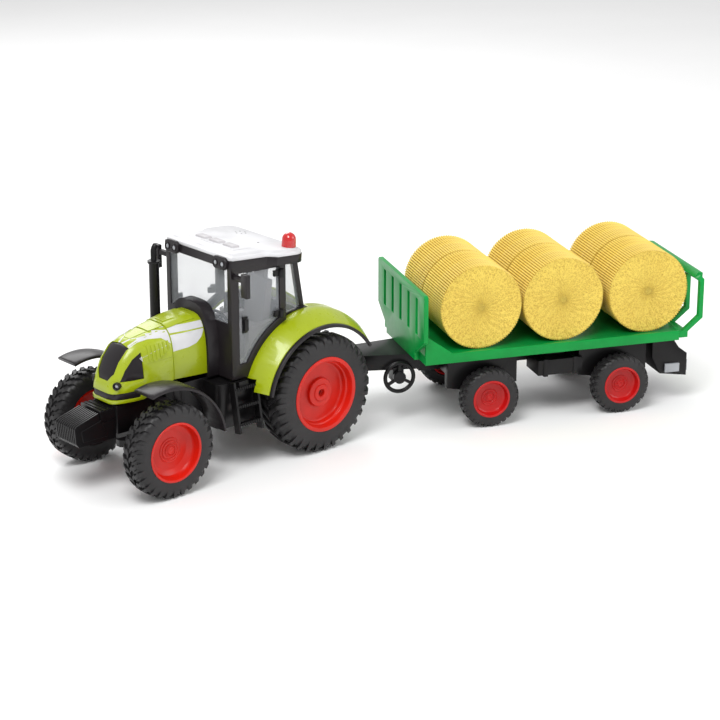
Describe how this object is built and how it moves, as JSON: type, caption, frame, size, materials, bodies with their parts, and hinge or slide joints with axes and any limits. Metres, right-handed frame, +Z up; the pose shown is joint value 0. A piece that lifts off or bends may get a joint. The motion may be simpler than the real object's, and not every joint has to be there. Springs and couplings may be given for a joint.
{
  "type": "toy tractor",
  "caption": "Friction-driven toy farm tractor with opening cab doors and sound buttons, hitched to a flat trailer carrying lift-off round bales.",
  "frame": {"origin": "centre of the whole toy's bounding box in plan, on the ground it stands on (z = 0)", "axes": "-X towards the tractor's nose, -Y its left-hand side, +Z up; the trailer stands turned 24 degrees at the hitch"},
  "size_m": [0.605, 0.2604, 0.1932],
  "materials": {
    "lime_body": "glossy moulded plastic",
    "black_plastic": "satin moulded plastic",
    "charcoal_frame": "satin moulded plastic",
    "clear_window": "clear moulded plastic",
    "grey_interior": "satin moulded plastic",
    "white_cover": "glossy moulded plastic",
    "button_white": "satin moulded plastic",
    "red_lens": "translucent moulded lens",
    "lamp_lens": "clear moulded lens",
    "orange_rim": "glossy moulded plastic",
    "red_rim": "glossy moulded plastic",
    "tyre_rubber": "matt moulded tyre",
    "steel": "turned steel",
    "gear_white": "natural acetal",
    "green_trailer": "glossy moulded plastic",
    "grey_casting": "dark grey",
    "board_green": "printed circuit board",
    "straw": "textured moulded straw colour"
  },
  "bodies": {
    "tractor": {"chassis": "black_plastic", "battery_cover": "black_plastic", "battery_cells": "steel", "front_axle_beam": "black_plastic", "front_weight": "black_plastic", "front_fenders": "charcoal_frame", "bonnet_front": "lime_body", "bonnet_rear": "lime_body", "grilles": "charcoal_frame", "headlamps": "lamp_lens", "cab_frame": "charcoal_frame", "cab_windows": "clear_window", "cab_interior": "grey_interior", "steering_wheel": "black_plastic", "roof_cover": "white_cover", "speaker": "black_plastic", "circuit_board": "board_green", "beacon": "red_lens", "roof_lamps": "lamp_lens", "mirrors": "charcoal_frame", "exhaust_stack": "black_plastic", "rear_fenders": "lime_body", "fender_trims": "charcoal_frame", "cab_steps": "black_plastic", "hitch_pin": "steel", "gearbox": "gear_white", "chassis_screws": "steel"},
    "left_door": {"door_left": "clear_window", "door_left_fittings": "black_plastic"},
    "right_door": {"door_right": "clear_window", "door_right_fittings": "black_plastic"},
    "left_button": {"button_left": "button_white"},
    "middle_button": {"button_middle": "button_white"},
    "right_button": {"button_right": "button_white"},
    "rear_wheelset": {"rear_axle": "steel", "rear_axle_gear": "gear_white", "rear_tyres": "tyre_rubber", "rear_rims": "orange_rim"},
    "flywheel_shaft": {"flywheel": "grey_casting"},
    "front_wheelset": {"front_axle": "steel", "front_tyres": "tyre_rubber", "front_rims": "orange_rim"},
    "trailer": {"trailer_chassis": "black_plastic", "load_bed": "green_trailer", "front_gate": "green_trailer", "rear_gate": "green_trailer", "tail_lamps": "lamp_lens"},
    "jockey": {"jockey_wheel": "black_plastic"},
    "trailer_front_wheelset": {"trailer_front_axle": "steel", "trailer_front_tyres": "tyre_rubber", "trailer_front_rims": "red_rim"},
    "trailer_rear_wheelset": {"trailer_rear_axle": "steel", "trailer_rear_tyres": "tyre_rubber", "trailer_rear_rims": "red_rim"},
    "front_left_bale": {"bale_front_left": "straw"},
    "front_right_bale": {"bale_front_right": "straw"},
    "middle_left_bale": {"bale_middle_left": "straw"},
    "middle_right_bale": {"bale_middle_right": "straw"},
    "rear_left_bale": {"bale_rear_left": "straw"},
    "rear_right_bale": {"bale_rear_right": "straw"}
  },
  "joints": [
    {"name": "rear_wheels_roll", "type": "hinge", "parent": "tractor", "child": "rear_wheelset", "pos_m": [-0.08049, 0.06278, 0.052], "axis": [0, 1, 0], "continuous": true},
    {"name": "flywheel_spin", "type": "hinge", "parent": "tractor", "child": "flywheel_shaft", "pos_m": [-0.09969, 0.06278, 0.052], "axis": [0, 1, 0], "continuous": true},
    {"name": "front_wheels_roll", "type": "hinge", "parent": "tractor", "child": "front_wheelset", "pos_m": [-0.24049, 0.06278, 0.04], "axis": [0, 1, 0], "continuous": true},
    {"name": "hitch_swing", "type": "hinge", "parent": "tractor", "child": "trailer", "pos_m": [-0.03549, 0.06278, 0.053], "axis": [0, 0, 1], "range_deg": [-21, 69]},
    {"name": "trailer_front_wheels_roll", "type": "hinge", "parent": "trailer", "child": "trailer_front_wheelset", "pos_m": [0.09332, 0.00543, 0.0265], "axis": [0.4067, 0.9135, 0], "continuous": true},
    {"name": "trailer_rear_wheels_roll", "type": "hinge", "parent": "trailer", "child": "trailer_rear_wheelset", "pos_m": [0.2066, -0.045, 0.0265], "axis": [0.4067, 0.9135, 0], "continuous": true},
    {"name": "jockey_wheel_spin", "type": "hinge", "parent": "trailer", "child": "jockey", "pos_m": [0.01524, 0.00954, 0.042], "axis": [0.4067, 0.9135, 0], "continuous": true},
    {"name": "left_door_swing", "type": "hinge", "parent": "tractor", "child": "left_door", "pos_m": [-0.11249, 0.01618, 0.14], "axis": [0, 0, 1], "range_deg": [0, 70]},
    {"name": "right_door_swing", "type": "hinge", "parent": "tractor", "child": "right_door", "pos_m": [-0.11249, 0.10938, 0.14], "axis": [0, 0, -1], "range_deg": [0, 70]},
    {"name": "left_button_press", "type": "slide", "parent": "tractor", "child": "left_button", "axis": [-0.0785, 0, -0.9969], "range_m": [0, 0.0012], "stiffness_N_per_m": 400, "springref_m": -0.001},
    {"name": "middle_button_press", "type": "slide", "parent": "tractor", "child": "middle_button", "axis": [-0.0785, 0, -0.9969], "range_m": [0, 0.0012], "stiffness_N_per_m": 400, "springref_m": -0.001},
    {"name": "right_button_press", "type": "slide", "parent": "tractor", "child": "right_button", "axis": [-0.0785, 0, -0.9969], "range_m": [0, 0.0012], "stiffness_N_per_m": 400, "springref_m": -0.001},
    {"name": "front_left_bale_lift", "type": "slide", "parent": "trailer", "child": "front_left_bale", "axis": [0, 0, 1], "range_m": [0, 0.06]},
    {"name": "front_right_bale_lift", "type": "slide", "parent": "trailer", "child": "front_right_bale", "axis": [0, 0, 1], "range_m": [0, 0.06]},
    {"name": "middle_left_bale_lift", "type": "slide", "parent": "trailer", "child": "middle_left_bale", "axis": [0, 0, 1], "range_m": [0, 0.06]},
    {"name": "middle_right_bale_lift", "type": "slide", "parent": "trailer", "child": "middle_right_bale", "axis": [0, 0, 1], "range_m": [0, 0.06]},
    {"name": "rear_left_bale_lift", "type": "slide", "parent": "trailer", "child": "rear_left_bale", "axis": [0, 0, 1], "range_m": [0, 0.06]},
    {"name": "rear_right_bale_lift", "type": "slide", "parent": "trailer", "child": "rear_right_bale", "axis": [0, 0, 1], "range_m": [0, 0.06]}
  ],
  "couplings": [
    {"joint": "flywheel_spin", "follows": "rear_wheels_roll", "ratio": -3}
  ]
}
